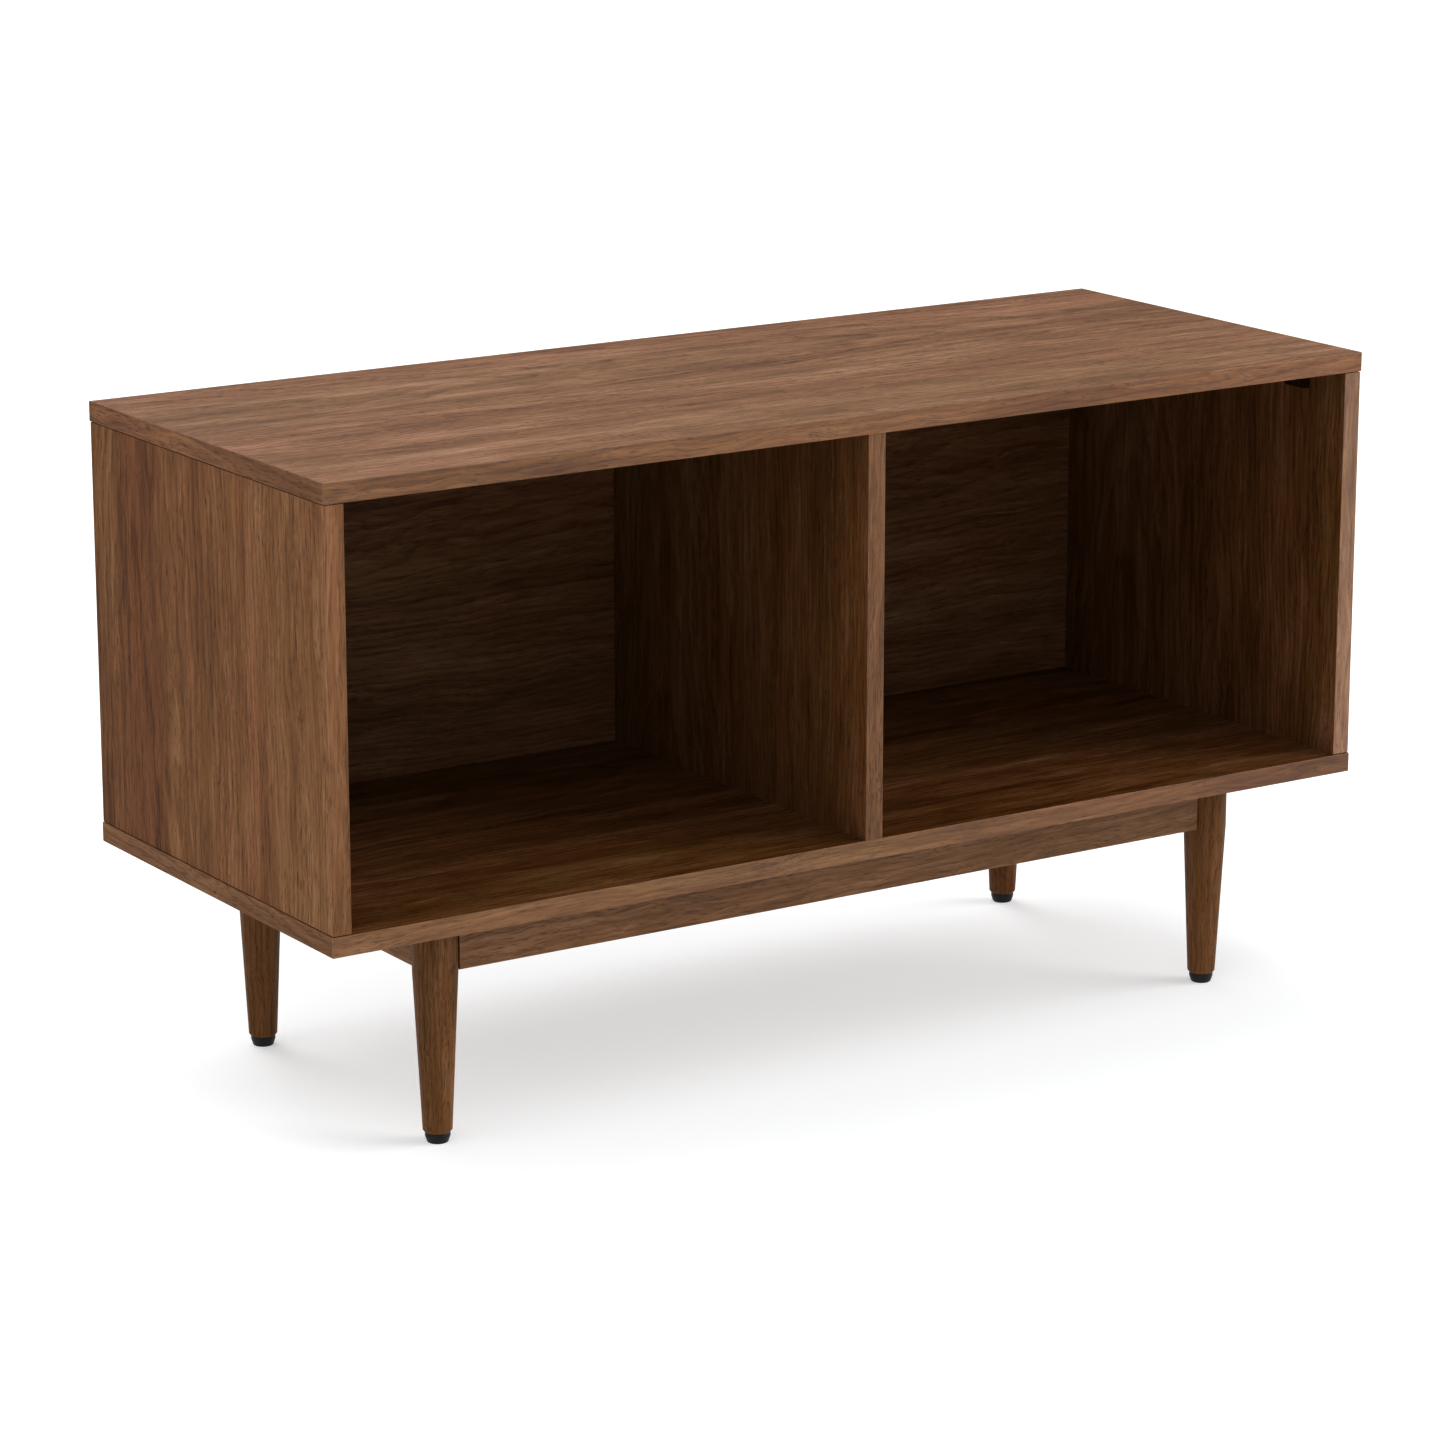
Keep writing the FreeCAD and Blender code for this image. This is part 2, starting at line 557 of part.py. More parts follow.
# The levelling feet -------------------------------------------------------------------------------
def foot_stud(x, y):
    """A stud with a round head below, a plain neck in the pad and a thread above it."""
    head_low, head_high = STUD_HEAD_Z
    tip = LEG_END_Z + STUD_IN_LEG
    points = [(0, head_low), (STUD_HEAD_R, head_low), (STUD_HEAD_R, head_high), (STUD_NECK_R, head_high),
              (STUD_NECK_R, PAD_HEIGHT)]
    points += thread(PAD_HEIGHT, tip, STUD_ROOT_R, STUD_CREST_R) + [(STUD_ROOT_R, tip), (0, tip)]
    return turned(points, x, y)


def foot_pad(x, y):
    """A plastic pad held round the stud's head: straight above, tapering below, with a rounded sole."""
    body = turned([(0, 0), (PAD_SOLE_R, 0), (PAD_TOP_R, PAD_SIDE_Z), (PAD_TOP_R, PAD_HEIGHT),
                   (0, PAD_HEIGHT)], x, y)
    body = rounded(body, PAD_SOLE_ROUND, lambda mid, edge: edge.BoundBox.ZMax < PAD_SIDE_Z / 2)
    body = rounded(body, PAD_TOP_ROUND, lambda mid, edge: edge.BoundBox.ZMin > PAD_SIDE_Z)
    head_low, head_high = STUD_HEAD_Z
    head_room = rod(STUD_HEAD_R + RUN, (x, y, head_low - RUN), (x, y, head_high + RUN))
    neck_room = rod(STUD_NECK_R + RUN, (x, y, head_low), (x, y, PAD_HEIGHT + PAST))
    return cut(body, [head_room, neck_room])


def leg_insert(x, y):
    sleeve = rod(INSERT_R, (x, y, LEG_END_Z), (x, y, LEG_END_Z + INSERT_LENGTH))
    return sleeve.cut(rod(INSERT_BORE_R, (x, y, 0), (x, y, CASE_Z)))


def make_feet():
    for name, sx, sy in CORNERS:
        save(name + "_foot_stud", foot_stud(sx * LEG_X, sy * LEG_Y))
        save(name + "_foot_pad", foot_pad(sx * LEG_X, sy * LEG_Y))
    save("leg_inserts", *[leg_insert(sx * LEG_X, sy * LEG_Y) for _, sx, sy in CORNERS])


os.makedirs("parts", exist_ok=True)
make_case()
make_base()
make_feet()
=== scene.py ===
"""Looks of the two-compartment storage cabinet: its materials, the studio round it and the camera.

Every wood material shares one node group, the figure of sliced walnut.  The group works in grain
coordinates: metres along the grain, across it and into it, from the middle of the piece.  So the
fibres run the way they do on each real board, and no two pieces have the same figure.
"""
import json
import math

import bpy
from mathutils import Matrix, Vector


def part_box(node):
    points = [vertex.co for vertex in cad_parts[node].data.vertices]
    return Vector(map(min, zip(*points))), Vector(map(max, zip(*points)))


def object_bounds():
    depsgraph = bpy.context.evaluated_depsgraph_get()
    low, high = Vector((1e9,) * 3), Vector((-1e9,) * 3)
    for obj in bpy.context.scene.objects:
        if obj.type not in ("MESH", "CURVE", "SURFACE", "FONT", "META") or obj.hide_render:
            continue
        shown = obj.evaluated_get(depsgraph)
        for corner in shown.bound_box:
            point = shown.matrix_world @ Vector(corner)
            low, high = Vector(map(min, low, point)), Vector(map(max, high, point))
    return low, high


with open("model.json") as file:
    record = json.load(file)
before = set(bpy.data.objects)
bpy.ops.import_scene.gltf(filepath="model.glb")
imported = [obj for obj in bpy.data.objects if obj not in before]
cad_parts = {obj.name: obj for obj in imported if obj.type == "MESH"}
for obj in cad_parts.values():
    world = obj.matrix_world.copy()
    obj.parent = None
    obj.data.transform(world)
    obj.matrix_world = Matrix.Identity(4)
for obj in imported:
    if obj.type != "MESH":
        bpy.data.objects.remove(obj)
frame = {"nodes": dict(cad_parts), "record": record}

scene = bpy.context.scene
cad_low, cad_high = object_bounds()
AXES = "XYZ"
BLOTCH_LEVELS = (0.3, 0.7)          # where a noise's blotches are fully dark and fully light
EDGE_LEVELS = (0.99, 0.8)           # how alike the rounded and flat normals are, from no edge wear and highlight to full


# Node graphs --------------------------------------------------------------------------------------
def srgb(red, green, blue):
    """A linear colour from the 0 to 255 values that a colour picker shows."""
    shares = [value / 255 for value in (red, green, blue)]
    linear = [s / 12.92 if s <= 0.04045 else ((s + 0.055) / 1.055) ** 2.4 for s in shares]
    return (*linear, 1.0)


def grey(value):
    return (value, value, value, 1.0)


class Graph:
    """Short calls that add nodes to one material, group or world and link them up."""

    def __init__(self, tree):
        self.tree = tree

    def node(self, kind, inputs=None, **settings):
        """A new node.  inputs gives its sockets, by name or number, a value or another node's output."""
        made = self.tree.nodes.new("ShaderNode" + kind)
        for name, value in settings.items():
            setattr(made, name, value)
        for socket, value in (inputs or {}).items():
            self.feed(made.inputs[socket], value)
        return made

    def feed(self, socket, value):
        if isinstance(value, bpy.types.NodeSocket):
            self.tree.links.new(value, socket)
        else:
            socket.default_value = value

    def calculate(self, operation, a, b=0.0, c=0.0):
        return self.node("Math", {0: a, 1: b, 2: c}, operation=operation).outputs[0]

    def vector(self, operation, a, b):
        return self.node("VectorMath", {0: a, 1: b}, operation=operation).outputs[0]

    def total(self, level, *terms):
        """A level plus the (weight, value) pairs, each value times its weight."""
        for weight, value in terms:
            level = self.calculate("MULTIPLY_ADD", value, weight, level)
        return level

    def split(self, vector):
        """The three parts of a vector."""
        return self.node("SeparateXYZ", {0: vector}).outputs

    def object_place(self):
        """The place on the object, in metres along its own axes."""
        return self.node("TexCoord").outputs["Object"]

    def noise(self, place, cells, detail=0.0, roughness=0.5):
        """Noise from 0 to 1 with so many cells to the metre, one number or three for stretched noise."""
        stretched = self.vector("MULTIPLY", place, cells if isinstance(cells, tuple) else (cells,) * 3)
        return self.node("TexNoise", {"Vector": stretched, "Scale": 1.0, "Detail": detail,
                                      "Roughness": roughness}).outputs

    def spread(self, value, low, high, new_low=0.0, new_high=1.0):
        """Maps low..high to new_low..new_high, clamped."""
        return self.node("MapRange", {"Value": value, "From Min": low, "From Max": high,
                                      "To Min": new_low, "To Max": new_high}).outputs["Result"]

    def ramp(self, factor, *stops):
        """A colour from (position, colour) stops."""
        made = self.node("ValToRGB", {"Fac": factor})
        elements = made.color_ramp.elements
        while len(elements) < len(stops):
            elements.new(0.5)
        for element, (position, color) in zip(elements, stops):
            element.position = position
            element.color = color
        return made.outputs["Color"]

    def mottle(self, factor, dark, light):
        """A noise's blotches, between a dark and a light colour."""
        return self.ramp(factor, (BLOTCH_LEVELS[0], dark), (BLOTCH_LEVELS[1], light))

    def mix(self, factor, a, b, blend="MIX"):
        """A blend of two colours, which are the Mix node's sockets 6 and 7."""
        return self.node("Mix", {0: factor, 6: a, 7: b}, data_type="RGBA", blend_type=blend).outputs[2]

    def bump(self, height, strength, distance):
        """The normal of a surface whose relief is distance metres deep."""
        return self.node("Bump", {"Height": height, "Strength": strength, "Distance": distance}).outputs[0]


def new_material(name):
    material = bpy.data.materials.new(name)
    material.use_nodes = True
    shader = material.node_tree.nodes["Principled BSDF"]
    return material, Graph(material.node_tree), shader


def edge_wear_and_highlight_mask(g, reach):
    """1 on corners and edges within reach, 0 elsewhere: where edges are paler, rubbed and with a painted edge
    highlight.
    """
    soft = g.node("Bevel", {"Radius": reach}, samples=4).outputs[0]
    sharp = g.node("NewGeometry").outputs["Normal"]
    facing = g.node("VectorMath", {0: soft, 1: sharp}, operation="DOT_PRODUCT").outputs["Value"]
    return g.spread(facing, *EDGE_LEVELS)


# Walnut -------------------------------------------------------------------------------------------
# dark wood is a richer brown and pale wood is greyer
WALNUT_STOPS = [(0.0, srgb(62, 34, 10)), (0.28, srgb(93, 57, 23)), (0.5, srgb(120, 82, 48)),
                (0.72, srgb(143, 106, 77)), (1.0, srgb(174, 141, 118))]
OLIVE = (0.94, 1.0, 0.92, 1.0)
ROSE = (1.05, 0.985, 1.0, 1.0)
HUE_STOPS = [(0.32, OLIVE), (0.5, grey(1.0)), (0.66, ROSE)]
PORE_BROWN = srgb(38, 23, 15)
PORE_COVER = 0.45                   # how much of the wood's colour a pore hides
# paler wood for the edges and how far in: rubbed wear and a painted edge highlight
WOOD_WEAR_AND_HIGHLIGHT = srgb(176, 132, 96)
WOOD_WEAR_AND_HIGHLIGHT_REACH = 0.0009

# All cells are per metre: along the grain, across it and into it.
# layer of noise: cells, octaves past the first, their strength
LAYERS = {
    "broad": ((2.6, 20.0, 20.0), 1.0, 0.5),
    "bands": ((2.2, 36.0, 36.0), 0.0, 0.5),
    "streaks": ((9.0, 62.0, 62.0), 2.0, 0.6),
    "fine": ((17.0, 240.0, 240.0), 2.0, 0.6),
    "fibres": ((40.0, 1300.0, 1300.0), 1.0, 0.5),
}
# line: cells, half its width as a share of the noise's range, how far off the layers its noise is taken
LINES = {
    "veins": ((5.5, 85.0, 85.0), 0.09, (0.0, 0.0, 0.0)),
    "scores": ((8.0, 120.0, 120.0), 0.07, (0.0, 0.31, 0.17)),
}
# the slow and the quick wavering of the grain: cells, how wide it strays in metres
WAVERS = [((1.9, 7.0, 7.0), 0.034), ((13.0, 34.0, 34.0), 0.010)]
HUE_CELLS = (0.9, 13.0, 13.0)
SEED_STEP = (7.31, 3.17, 5.83)      # how far apart in the noise two seeds are

RING_SPACING = 0.0055
RING_UNEVEN_CELLS = (0.6, 22.0, 22.0)
RING_UNEVEN = 2.2                   # over how many rings' width the noise shifts them
RING_SHADE = [(0.0, grey(0.0)), (0.55, grey(0.3)), (0.86, grey(1.0)), (1.0, grey(0.0))]
PITH_SLOPE = 0.035                  # how fast the middle of the tree dives into a board

PORE_CELLS = (70.0, 1500.0, 1500.0)
PORE_ZONE_CELLS = (4.0, 60.0, 60.0)
PORE_ZONE_WEIGHT = 0.32
PORE_RING_WEIGHT = 0.05
PORE_LEVELS = (0.78, 0.86)          # where a pore begins and where it is fully dark

FIGURE_LEVEL = -0.745
FIGURE_WEIGHTS = {"broad": 0.5, "bands": 0.5, "streaks": 0.75, "fine": 0.58, "fibres": 0.25, "rings": -0.22,
                  "veins": 0.16, "scores": -0.14}
ROUGHNESS_LEVEL = -0.13
ROUGHNESS_WEIGHTS = {"fine": 0.16, "pores": 0.14, "streaks": 0.10}
HEIGHT_WEIGHTS = {"fibres": 0.5, "fine": 0.35, "pores": -0.9}

GROUP_INPUTS = {"Place": "Vector", "Seed": "Float", "Pith": "Vector", "Contrast": "Float", "PaintedLightSlope": "Float"}
GROUP_OUTPUTS = {"Color": "Color", "Roughness": "Float", "Height": "Float"}


def walnut_group():
    """The figure of sliced walnut, from a place in grain coordinates, with a painted gradient of light and
    shade across it.
    """
    tree = bpy.data.node_groups.new("walnut_figure", "ShaderNodeTree")
    for way, sockets in (("INPUT", GROUP_INPUTS), ("OUTPUT", GROUP_OUTPUTS)):
        for name, kind in sockets.items():
            tree.interface.new_socket(name=name, in_out=way, socket_type="NodeSocket" + kind)
    g = Graph(tree)
    given = tree.nodes.new("NodeGroupInput").outputs
    result = tree.nodes.new("NodeGroupOutput").inputs
    parts, place = figure_parts(g, given)

    across = g.split(given["Place"])[1]
    off_middle = g.calculate("SUBTRACT", weighed(g, FIGURE_LEVEL, FIGURE_WEIGHTS, parts), 0.5)
    toned = g.calculate("MULTIPLY_ADD", off_middle, given["Contrast"], 0.5)
    # the slope makes the wood lighter towards one side of the board, a painted gradient of light and shade
    shade = g.calculate("MULTIPLY_ADD", across, given["PaintedLightSlope"], toned)
    hue = g.ramp(g.noise(place, HUE_CELLS, detail=2.0)["Fac"], *HUE_STOPS)
    wood = g.mix(1.0, g.ramp(shade, *WALNUT_STOPS), hue, "MULTIPLY")
    g.feed(result["Color"], g.mix(g.calculate("MULTIPLY", parts["pores"], PORE_COVER), wood, PORE_BROWN))
    g.feed(result["Roughness"], weighed(g, ROUGHNESS_LEVEL, ROUGHNESS_WEIGHTS, parts))
    g.feed(result["Height"], weighed(g, 0.0, HEIGHT_WEIGHTS, parts))
    return tree


def weighed(g, level, weights, parts):
    """A level plus the named parts of the figure, each times its weight."""
    return g.total(level, *[(weight, parts[name]) for name, weight in weights.items()])


def figure_parts(g, given):
    """Everything the figure is made of, by name, and the wandering place in the noise it is taken at."""
    seeded = g.node("VectorMath", {0: SEED_STEP, "Scale": given["Seed"]}, operation="SCALE").outputs[0]
    straight = g.vector("ADD", given["Place"], seeded)
    waver = wavering(g, straight)
    place = g.vector("ADD", straight, waver)
    parts = {name: g.noise(place, *layer)["Fac"] for name, layer in LAYERS.items()}
    parts.update({name: fine_lines(g, place, *line) for name, line in LINES.items()})
    parts["rings"] = growth_rings(g, g.vector("ADD", given["Place"], waver), given["Pith"], place)
    parts["pores"] = pore_dashes(g, place, parts["rings"])
    return parts, place


def wavering(g, place):
    """How far the grain strays across and into the board at a place."""
    strays = []
    for cells, reach in WAVERS:
        centred = g.vector("SUBTRACT", g.noise(place, cells, detail=1.0)["Color"], (0.5, 0.5, 0.5))
        strays.append(g.vector("MULTIPLY", centred, (0.0, reach, reach)))
    return g.vector("ADD", *strays)


def growth_rings(g, place, pith, noise_place):
    """Bands that darken slowly and end sharply, round a pith line that dives into the board."""
    along, across, depth = g.split(g.vector("SUBTRACT", place, pith))
    sunk = g.calculate("MULTIPLY_ADD", along, PITH_SLOPE, depth)
    squares = g.calculate("ADD", g.calculate("MULTIPLY", across, across), g.calculate("MULTIPLY", sunk, sunk))
    radius = g.calculate("SQRT", squares)
    uneven = g.noise(noise_place, RING_UNEVEN_CELLS, detail=1.0)["Fac"]
    phase = g.calculate("FRACT", g.total(0.0, (1 / RING_SPACING, radius), (RING_UNEVEN, uneven)))
    return g.ramp(phase, *RING_SHADE)


def fine_lines(g, place, cells, width, offset):
    """Thin wandering lines, 1 in the middle and 0 from width away, along one level of a noise."""
    level = g.noise(g.vector("ADD", place, offset), cells, detail=1.0)["Fac"]
    return g.spread(g.calculate("ABSOLUTE", g.calculate("SUBTRACT", level, 0.5)), 0.0, width, 1.0, 0.0)


def pore_dashes(g, place, rings):
    """Short dark dashes, thick in some zones and rare in others."""
    dashes = g.noise(place, PORE_CELLS)["Fac"]
    zones = g.noise(place, PORE_ZONE_CELLS, detail=1.0)["Fac"]
    crowding = g.total(0.0, (1.0, dashes), (PORE_ZONE_WEIGHT, zones), (PORE_RING_WEIGHT, rings))
    return g.spread(crowding, *PORE_LEVELS)


def grain_place(g, node, order):
    """Object coordinates as (along, across, into) the grain, from the middle of a node."""
    low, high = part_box(node)
    parts = g.split(g.vector("SUBTRACT", g.object_place(), tuple((low + high) / 2)))
    along, across, into = (parts[AXES.index(axis)] for axis in order)
    return g.node("CombineXYZ", {0: along, 1: across, 2: into}).outputs[0]


def walnut(node, order, seed, contrast, pith=(0.0, 0.11, -0.16), tint=(1.0, 1.0, 1.0), painted_light_slope=0.0,
           roughness=0.5, gloss=0.2, wear_and_highlight=0.0):
    """One board's own walnut.  order names the axes along, across and into the grain; pith is where the
    middle of the tree lay, in grain coordinates; the light slope is how much lighter the wood is painted per
    metre across, painted light and shade; the colour factor is the board's tone, for some boards partly
    painted light; the edge factor says how much paler its edges are, rubbed and with a painted edge
    highlight."""
    material, g, shader = new_material(node + "_walnut")
    figure = g.node("Group", node_tree=WALNUT)
    given = {"Place": grain_place(g, node, order), "Seed": seed, "Pith": pith, "Contrast": contrast,
             "PaintedLightSlope": painted_light_slope}
    for name, value in given.items():
        g.feed(figure.inputs[name], value)
    # this multiplies in the board's tone, and for some boards painted light and shade
    color = g.mix(1.0, figure.outputs["Color"], (*tint, 1.0), "MULTIPLY")
    # paler edges: rubbed wear and a painted edge highlight
    if wear_and_highlight:
        color = g.mix(g.calculate("MULTIPLY", edge_wear_and_highlight_mask(g, WOOD_WEAR_AND_HIGHLIGHT_REACH), wear_and_highlight), color, WOOD_WEAR_AND_HIGHLIGHT)
    g.feed(shader.inputs["Base Color"], color)
    g.feed(shader.inputs["Roughness"], g.calculate("ADD", figure.outputs["Roughness"], roughness))
    shader.inputs["Specular IOR Level"].default_value = gloss
    g.feed(shader.inputs["Normal"], g.bump(figure.outputs["Height"], strength=0.35, distance=0.00025))
    return material


WALNUT = walnut_group()

# node: the axes along, across and into its grain, then what else walnut() takes
BOARDS = {
    # the top's pale, bluish tint is partly painted light, a lit top and a painted sheen, and its slope paints
    # it lighter towards the front
    "top_panel": dict(order="XYZ", seed=1.0, contrast=0.64, painted_light_slope=-0.15, tint=(1.16, 1.19, 1.32), gloss=0.18),
    # the bottom's darker tint is partly painted shade, of the compartments' insides
    "bottom_panel": dict(order="XYZ", seed=2.0, contrast=0.72, tint=(0.89, 0.87, 0.75), gloss=0.1),
    # the left side's slope paints it lighter towards the front, painted light
    "left_side_panel": dict(order="ZYX", seed=3.0, contrast=0.54, painted_light_slope=-0.6, tint=(0.96, 0.89, 0.8),
                            gloss=0.1),
    # the right side's and the divider's darker tints are partly painted shade, of the compartments' insides
    "right_side_panel": dict(order="ZYX", seed=4.0, contrast=0.6, tint=(0.85, 0.84, 0.76), gloss=0.1),
    "centre_divider": dict(order="ZYX", seed=5.0, contrast=0.52, tint=(0.88, 0.9, 0.82), gloss=0.12),
    # the back's dark tint is partly painted shade of the compartments' insides, and its slope paints it
    # darker towards the top, painted shade under the top
    "back_panel": dict(order="XZY", seed=6.0, contrast=0.6, painted_light_slope=-0.6, tint=(0.74, 0.74, 0.67), gloss=0.16),
}

BAND_TINT = (0.86, 0.81, 0.64)
# how much paler the edges are made: rubbed wear and a painted edge highlight
SOLID_WEAR_AND_HIGHLIGHT = 0.3


def add_solid_parts(seeds, **common):
    """Bands, aprons and legs, rubbed paler at the edges and given a painted edge highlight there, and alike
    in all but their seeds.  seeds is by name.
    """
    for name, seed in seeds.items():
        BOARDS[name] = dict(seed=seed, wear_and_highlight=SOLID_WEAR_AND_HIGHLIGHT, **common)


add_solid_parts({"front_apron": 7.0, "rear_apron": 8.0}, order="XZY", contrast=0.53)
add_solid_parts({"left_apron": 9.0, "right_apron": 10.0}, order="YZX", contrast=0.53)
add_solid_parts({"left_side_front_band": 23.0, "centre_divider_front_band": 24.0,
                 "right_side_front_band": 25.0}, order="ZXY", contrast=0.54)
add_solid_parts({"top_front_band": 16.0, "bottom_front_band": 20.0, "top_rear_band": 12.0,
                 "bottom_rear_band": 17.0}, order="XZY", contrast=0.54, tint=BAND_TINT)
add_solid_parts({"top_left_band": 15.0, "bottom_left_band": 19.0, "top_right_band": 13.0,
                 "bottom_right_band": 18.0}, order="YZX", contrast=0.54, tint=BAND_TINT)
add_solid_parts({"front_left_leg": 27.0, "front_right_leg": 28.0, "rear_left_leg": 29.0,
                 "rear_right_leg": 30.0}, order="ZXY", contrast=0.43, tint=(0.82, 0.81, 0.75), gloss=0.14,
                pith=(0.0, 0.03, -0.05))

# the parts whose faces look forward are glossier, and each has its own tint, partly painted light and sheen
BOARDS["front_apron"].update(tint=(0.93, 0.98, 0.92), gloss=0.4)
BOARDS["left_side_front_band"].update(tint=(1.01, 0.96, 0.85), gloss=0.4)
BOARDS["centre_divider_front_band"].update(tint=(0.96, 0.93, 0.82), gloss=0.5)
# the right side's front band is tinted paler and greyer than the rest, a painted sheen
BOARDS["right_side_front_band"].update(tint=(1.2, 1.25, 1.23), gloss=0.9, roughness=0.36)
# the slabs' front bands are tinted paler than their other bands, painted light on faces that look forward
BOARDS["top_front_band"].update(tint=(1.03, 0.95, 0.75), gloss=0.6, roughness=0.34)
BOARDS["bottom_front_band"].update(tint=(0.95, 0.86, 0.63), gloss=0.6, roughness=0.34)


# Other materials ----------------------------------------------------------------------------------
# each pair is the dark and the light of the material's blotches
BLOCK_BLACKS = (srgb(27, 15, 9), srgb(36, 21, 13))
FOOT_BLACKS = (srgb(20, 19, 20), srgb(31, 30, 31))
ZINC_GREYS = (srgb(168, 170, 174), srgb(205, 206, 208))
BRASS_YELLOWS = (srgb(176, 140, 74), srgb(214, 180, 108))
BEECH_BROWNS = (srgb(188, 148, 108), srgb(222, 188, 148))
BEECH_FLECK = srgb(140, 98, 66)
# the paler grey on edges, rubbed wear and a painted edge highlight
PLASTIC_WEAR_AND_HIGHLIGHT = grey(0.25)

PLASTIC_GRAIN_CELLS = 2600.0
PLASTIC_CLOUD_CELLS = 140.0
# how far the edges go to that grey, and how wide: rubbed wear and a painted edge highlight
PLASTIC_WEAR_AND_HIGHLIGHT_MIX = 0.25
PLASTIC_WEAR_AND_HIGHLIGHT_REACH = 0.0005
METAL_BLOTCH_CELLS = 320.0
METAL_SPECK_CELLS = 2400.0
BEECH_FIBRE_CELLS = (300.0, 300.0, 60.0)
BEECH_FLECK_CELLS = (900.0, 900.0, 260.0)
BEECH_FLECK_LEVELS = (0.64, 0.72)   # where a fleck begins and where it is as brown as it gets
BEECH_FLECK_COVER = 0.6


def black_plastic(name, blacks, gloss):
    """Moulded plastic: a fine spark-eroded grain, faint cloudiness and edges rubbed paler, with a painted
    edge highlight.
    """
    material, g, shader = new_material(name)
    shader.inputs["Specular IOR Level"].default_value = gloss
    place = g.object_place()
    grain = g.noise(place, PLASTIC_GRAIN_CELLS, detail=2.0)["Fac"]
    clouds = g.noise(place, PLASTIC_CLOUD_CELLS, detail=3.0)["Fac"]
    color = g.mottle(clouds, *blacks)
    # paler edges: rubbed wear and a painted edge highlight
    worn_and_highlit = g.mix(PLASTIC_WEAR_AND_HIGHLIGHT_MIX, color, PLASTIC_WEAR_AND_HIGHLIGHT)
    g.feed(shader.inputs["Base Color"], g.mix(edge_wear_and_highlight_mask(g, PLASTIC_WEAR_AND_HIGHLIGHT_REACH), color, worn_and_highlit))
    g.feed(shader.inputs["Roughness"], g.total(0.28, (0.22, clouds), (0.12, grain)))
    g.feed(shader.inputs["Normal"], g.bump(grain, strength=0.25, distance=0.0001))
    return material


def metal(name, colors, roughness):
    """Plated or plain metal: a mottled colour, and specks and small dents in the finish."""
    material, g, shader = new_material(name)
    shader.inputs["Metallic"].default_value = 1.0
    place = g.object_place()
    blotches = g.noise(place, METAL_BLOTCH_CELLS, detail=3.0)["Fac"]
    specks = g.noise(place, METAL_SPECK_CELLS, detail=2.0)["Fac"]
    height = g.total(0.0, (0.6, specks), (0.4, blotches))
    g.feed(shader.inputs["Base Color"], g.mottle(blotches, *colors))
    g.feed(shader.inputs["Roughness"], g.total(roughness, (0.2, blotches), (0.15, specks)))
    g.feed(shader.inputs["Normal"], g.bump(height, strength=0.2, distance=0.0001))
    return material


def beech():
    """Bare beech: pale fibres with small brown flecks."""
    material, g, shader = new_material("beech")
    place = g.object_place()
    fibres = g.noise(place, BEECH_FIBRE_CELLS, detail=3.0)["Fac"]
    specks = g.noise(place, BEECH_FLECK_CELLS)["Fac"]
    flecks = g.spread(specks, *BEECH_FLECK_LEVELS, new_high=BEECH_FLECK_COVER)
    g.feed(shader.inputs["Base Color"], g.mix(flecks, g.mottle(fibres, *BEECH_BROWNS), BEECH_FLECK))
    g.feed(shader.inputs["Roughness"], g.spread(fibres, *BLOTCH_LEVELS, 0.55, 0.7))
    g.feed(shader.inputs["Normal"], g.bump(fibres, strength=0.3, distance=0.0002))
    return material


def finish_nodes():
    """Gives every CAD node its material: boards by name, the rest by the record's material slot, apart
    from the corner blocks, whose black is a browner one than the feet's."""
    block_black = black_plastic("corner_block_black", BLOCK_BLACKS, gloss=0.08)
    by_slot = {"black_plastic": black_plastic("foot_black", FOOT_BLACKS, gloss=0.35),
               "beech": beech(),
               "zinc_steel": metal("zinc_steel", ZINC_GREYS, roughness=0.15),
               "brass": metal("brass", BRASS_YELLOWS, roughness=0.11)}
    slots = {part["node"]: part["material_slot"] for part in frame["record"]["subparts"]}
    for name, obj in frame["nodes"].items():
        if name in BOARDS:
            material = walnut(name, **BOARDS[name])
        elif name.endswith("_corner_block"):
            material = block_black
        else:
            material = by_slot[slots[name]]
        obj.data.materials.clear()
        obj.data.materials.append(material)


# Studio and camera --------------------------------------------------------------------------------
FLOOR_HALF = 40.0
FLOOR_CLOUD_CELLS = 3.0
FLOOR_DARK = (0.574, 0.586, 0.597, 1.0)     # a shade cool, against the warm light off the wood
FLOOR_LIGHT = (0.604, 0.616, 0.627, 1.0)
FLOOR_GLOW = 0.466                          # the floor is a lit panel, so the shadow on it stays pale
FLOOR_GLOW_COLOR = (0.99, 1.0, 1.005, 1.0)
WORLD_LIGHT = 0.54
BACKDROP_LIGHT = 1.05                       # a white wall all round, from the floor's horizon up
BACKDROP_TOP = (0.16, 0.22)                 # it fades into the dimmer sky between these sines of elevation
DISPLAY_GAMMA = 0.8                         # a little more contrast than a plain display

# name: strength as a share of an even white sky, azimuth and elevation it shines from, width of the box
SOFTBOXES = {
    "front_right_softbox": (0.62, 60.0, 25.0, 40.0),
    "rear_low_softbox": (0.32, 180.0, 25.0, 40.0),
    "rear_high_softbox": (0.25, 180.0, 65.0, 40.0),
    "left_softbox": (0.19, -90.0, 49.0, 40.0),
    "front_left_softbox": (0.1, -45.0, 45.0, 40.0),
}
SOFTBOX_HEIGHT = 3.0

LENS_MM = 122.33
CAMERA_AZIMUTH = -33.22
CAMERA_ELEVATION = 14.53
CAMERA_DISTANCE = 4.5263
CAMERA_AIM = Vector((-0.0206, 0.0012, 0.2827))


def towards(azimuth, elevation):
    """The unit vector to a place round the object: azimuth 0 is the front and 90 the right, in degrees."""
    a, e = math.radians(azimuth), math.radians(elevation)
    return Vector((math.sin(a) * math.cos(e), -math.cos(a) * math.cos(e), math.sin(e)))


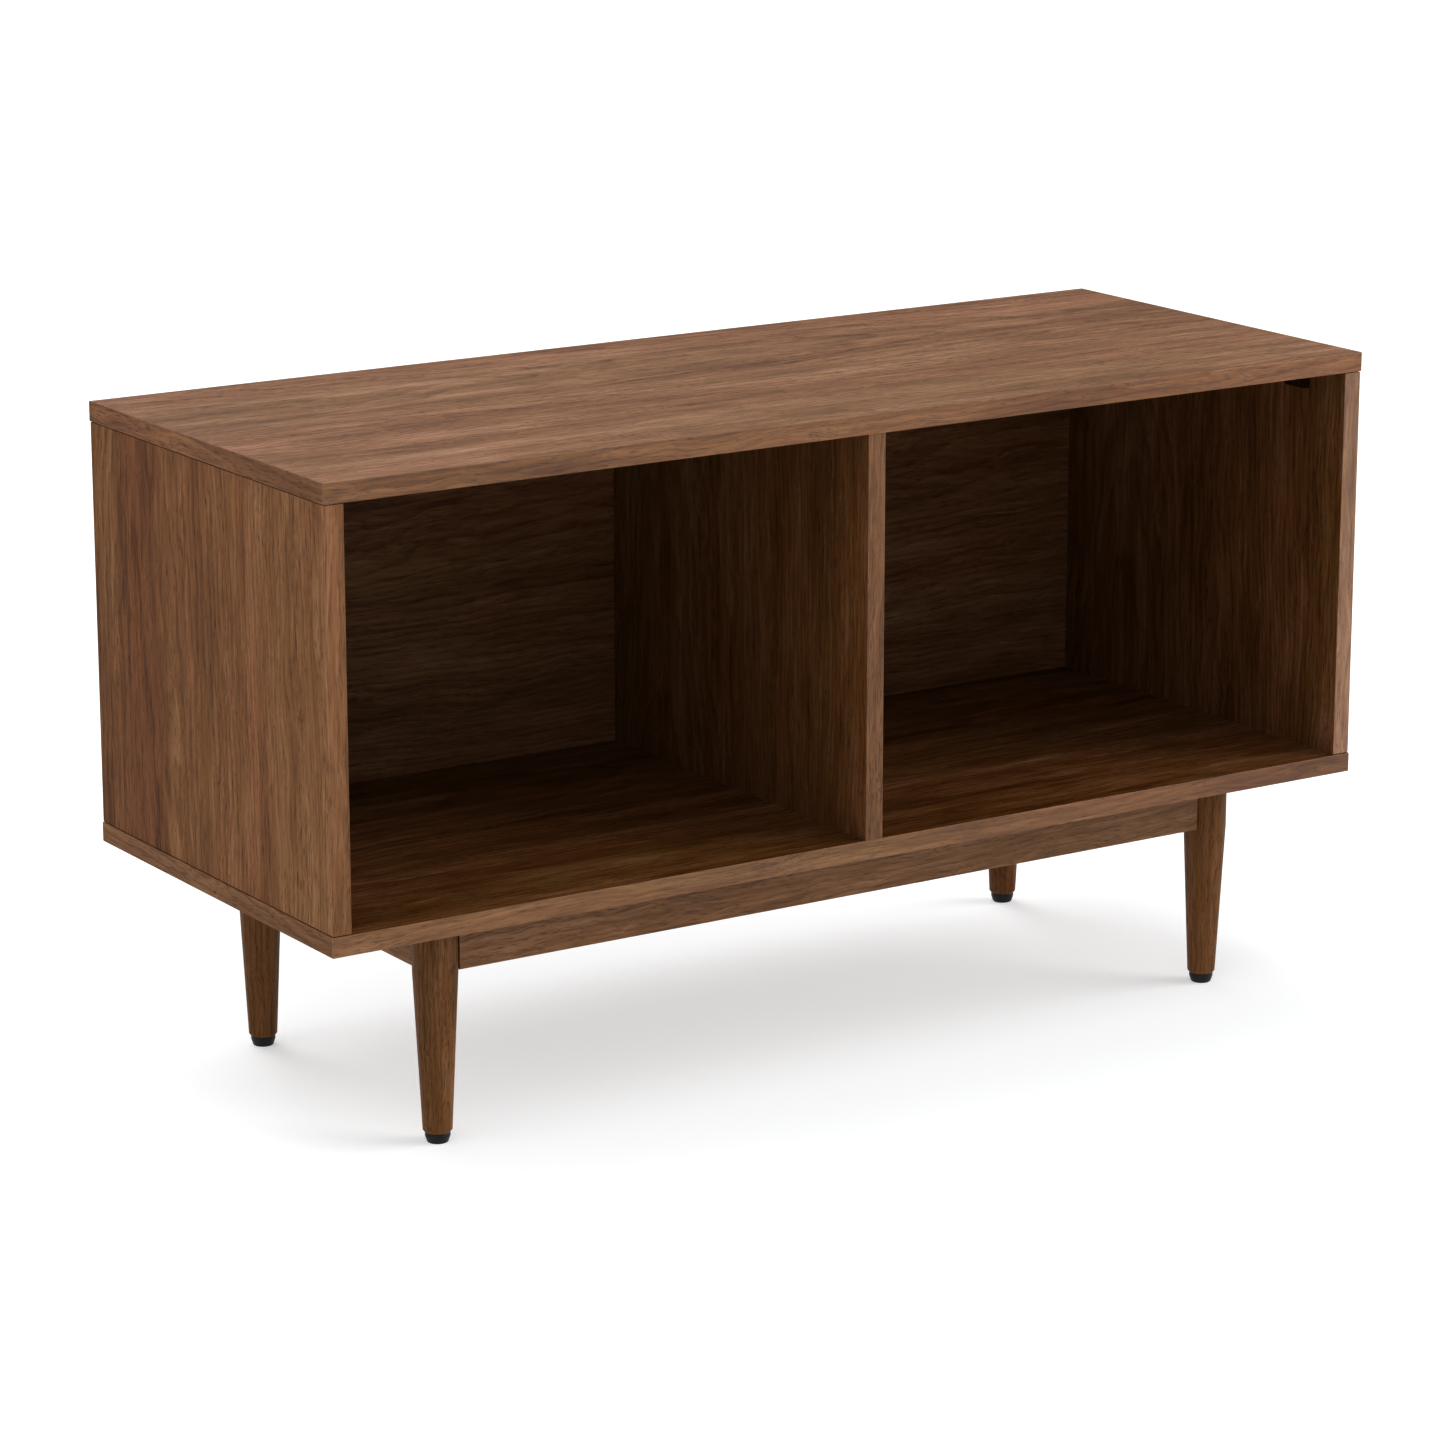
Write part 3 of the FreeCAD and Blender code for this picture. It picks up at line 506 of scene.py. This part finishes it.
def add_aimed(name, data, location, back):
    """Adds a lamp or camera that looks the opposite way to back."""
    obj = bpy.data.objects.new(name, data)
    obj.location = location
    obj.rotation_euler = back.to_track_quat("Z", "Y").to_euler()
    scene.collection.objects.link(obj)
    return obj


def add_floor():
    mesh = bpy.data.meshes.new("floor")
    signs = ((-1, -1), (1, -1), (1, 1), (-1, 1))
    mesh.from_pydata([(sx * FLOOR_HALF, sy * FLOOR_HALF, cad_low.z) for sx, sy in signs], [], [(0, 1, 2, 3)])
    material, g, shader = new_material("floor_panel")
    clouds = g.noise(g.object_place(), FLOOR_CLOUD_CELLS, detail=2.0)["Fac"]
    g.feed(shader.inputs["Base Color"], g.mix(clouds, FLOOR_DARK, FLOOR_LIGHT))
    shader.inputs["Roughness"].default_value = 1.0
    shader.inputs["Specular IOR Level"].default_value = 0.0
    shader.inputs["Emission Color"].default_value = FLOOR_GLOW_COLOR
    shader.inputs["Emission Strength"].default_value = FLOOR_GLOW
    mesh.materials.append(material)
    obj = bpy.data.objects.new("floor", mesh)
    scene.collection.objects.link(obj)


def add_lights():
    world = bpy.data.worlds.new("studio")
    world.use_nodes = True
    g = Graph(world.node_tree)
    sky = world.node_tree.nodes["Background"].inputs
    height = g.split(g.node("TexCoord").outputs["Generated"])[2]
    sky["Color"].default_value = grey(1.0)
    g.feed(sky["Strength"], g.spread(height, *BACKDROP_TOP, BACKDROP_LIGHT, WORLD_LIGHT))
    scene.world = world
    for name, (strength, azimuth, elevation, width) in SOFTBOXES.items():
        lamp = bpy.data.lights.new(name, "SUN")
        lamp.energy = math.pi * strength
        lamp.angle = math.radians(width)
        add_aimed(name, lamp, (0.0, 0.0, SOFTBOX_HEIGHT), towards(azimuth, elevation))


def add_camera():
    data = bpy.data.cameras.new("camera")
    data.lens = LENS_MM
    back = towards(CAMERA_AZIMUTH, CAMERA_ELEVATION)
    scene.camera = add_aimed("camera", data, CAMERA_AIM + back * CAMERA_DISTANCE, back)


finish_nodes()
add_floor()
add_lights()
add_camera()
scene.view_settings.view_transform = "Standard"
scene.view_settings.gamma = DISPLAY_GAMMA
